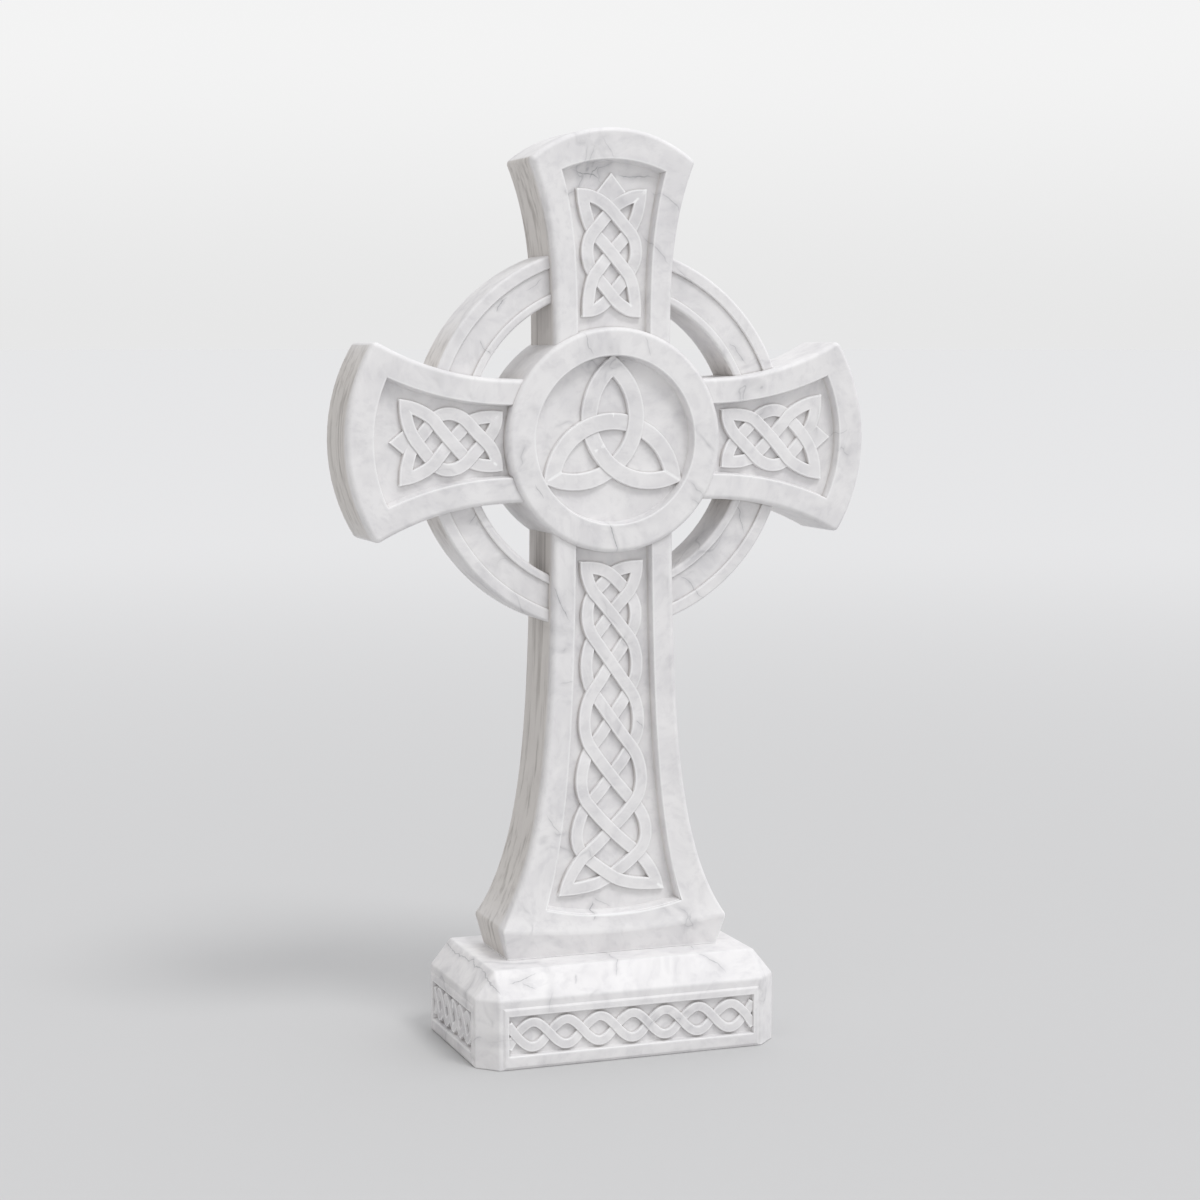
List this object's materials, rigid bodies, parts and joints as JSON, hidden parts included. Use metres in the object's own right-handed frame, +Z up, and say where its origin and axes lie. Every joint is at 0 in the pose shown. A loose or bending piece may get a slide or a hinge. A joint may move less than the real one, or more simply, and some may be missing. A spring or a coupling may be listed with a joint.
{
  "type": "celtic cross headstone",
  "caption": "White marble ringed cross on a low plinth, carved with interlaced knotwork and a trefoil boss, standing upright by its own weight",
  "frame": {"origin": "middle of the plinth's underside, on the ground", "axes": "+Z up the shaft, the carved face looks along -Y, +X to the viewer's right"},
  "size_m": [0.724, 0.26, 1.22],
  "materials": {
    "cross_marble": "white marble with faint grey veins, smooth rubbed satin surface, crisp carved arrises",
    "plinth_marble": "white marble with faint grey veins, smooth rubbed satin surface"
  },
  "bodies": {
    "root": {"cross": "cross_marble", "plinth": "plinth_marble"}
  },
  "joints": []
}
